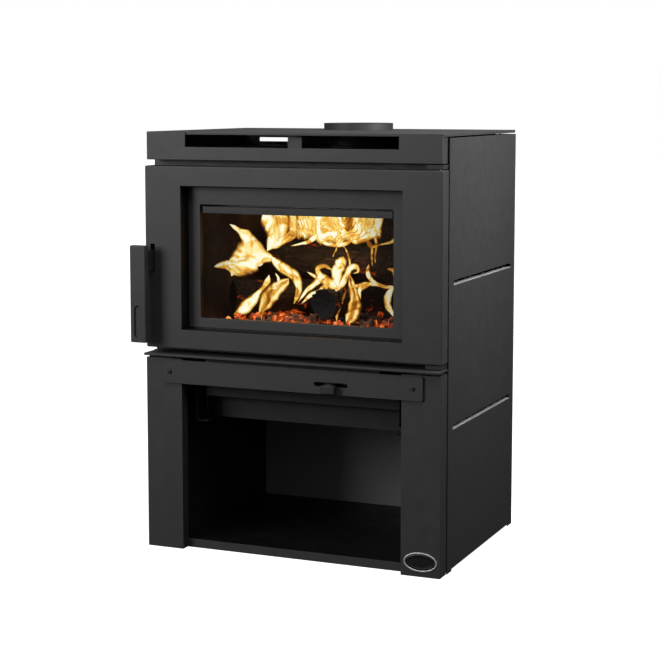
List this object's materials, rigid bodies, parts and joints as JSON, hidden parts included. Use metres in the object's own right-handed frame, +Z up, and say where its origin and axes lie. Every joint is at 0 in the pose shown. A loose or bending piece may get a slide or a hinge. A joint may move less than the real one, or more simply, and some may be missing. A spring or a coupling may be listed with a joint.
{
  "type": "wood burning stove",
  "caption": "Steel wood burning stove: glazed swing door with lever handle, air slide, ash drawer, convection hood and open wood store below",
  "frame": {"origin": "on the floor, in the middle of the body's width and depth", "axes": "+Z up, the door and the wood store's mouth face -Y, +X is to the right seen from the front"},
  "size_m": [0.6913, 0.5374, 0.9162],
  "materials": {
    "casing_paint": "satin charcoal high-temperature paint",
    "dark_paint": "matt black high-temperature paint",
    "bright_steel": "satin",
    "plain_steel": "bare, darkened by heat",
    "badge_metal": "satin rim round a black field",
    "firebrick": "rough, sooted",
    "rope_seal": "woven glass-fibre rope",
    "ceramic_glass": "clear",
    "charred_wood": "charred bark and split faces",
    "embers": "glowing coals in ash",
    "flame": "glowing gas"
  },
  "bodies": {
    "stove_body": {"store_floor": "casing_paint", "pillar_left": "casing_paint", "pillar_right": "casing_paint", "side_panel_left": "casing_paint", "side_panel_right": "casing_paint", "back_panel": "casing_paint", "front_frame": "casing_paint", "hearth_ledge": "casing_paint", "top_plate": "casing_paint", "hood_panel": "casing_paint", "convection_plate": "casing_paint", "cover_plate": "casing_paint", "base_plate": "dark_paint", "store_wall_left": "dark_paint", "store_wall_right": "dark_paint", "firebox_shell": "dark_paint", "ash_chute": "dark_paint", "flue_collar": "dark_paint", "hinge_bracket_top": "dark_paint", "hinge_bracket_bottom": "dark_paint", "air_box": "dark_paint", "cover_screw_left": "dark_paint", "cover_screw_right": "dark_paint", "drawer_rail_left": "dark_paint", "drawer_rail_right": "dark_paint", "side_sill_lower_left": "bright_steel", "side_sill_lower_right": "bright_steel", "side_sill_upper_left": "bright_steel", "side_sill_upper_right": "bright_steel", "latch_strike": "plain_steel", "secondary_air_tube_1": "plain_steel", "secondary_air_tube_2": "plain_steel", "secondary_air_tube_3": "plain_steel", "badge_plate": "badge_metal", "firebrick_floor": "firebrick", "firebrick_back": "firebrick", "firebrick_left": "firebrick", "firebrick_right": "firebrick", "baffle_board": "firebrick", "log_1": "charred_wood", "log_2": "charred_wood", "log_3": "charred_wood", "ember_bed": "embers"},
    "door": {"door_shell": "casing_paint", "door_inner_frame": "casing_paint", "door_back_pan": "dark_paint", "airwash_bar": "casing_paint", "glass_gasket": "rope_seal", "window_glass": "ceramic_glass", "glass_retainer": "dark_paint", "door_gasket": "rope_seal", "hinge_pin_top": "plain_steel", "hinge_pin_bottom": "plain_steel", "handle_pivot_pin": "plain_steel"},
    "handle": {"handle_grip": "dark_paint", "latch_arm": "dark_paint"},
    "air_control": {"air_slide": "dark_paint", "air_knob": "dark_paint"},
    "ash_pan": {"ash_drawer": "dark_paint", "ash_drawer_lip": "casing_paint"}
  },
  "joints": [
    {"name": "door_swing", "type": "hinge", "parent": "stove_body", "child": "door", "pos_m": [0.329, -0.2318, 0.6337], "axis": [0, 0, 1], "range_deg": [0, 110]},
    {"name": "handle_lift", "type": "hinge", "parent": "door", "child": "handle", "pos_m": [-0.3195, -0.226, 0.626], "axis": [-1, 0, 0], "range_deg": [0, 25]},
    {"name": "air_slide_travel", "type": "slide", "parent": "stove_body", "child": "air_control", "axis": [1, 0, 0], "range_m": [-0.028, 0.031]},
    {"name": "ash_drawer_travel", "type": "slide", "parent": "stove_body", "child": "ash_pan", "axis": [0, -1, 0], "range_m": [0, 0.25]}
  ]
}
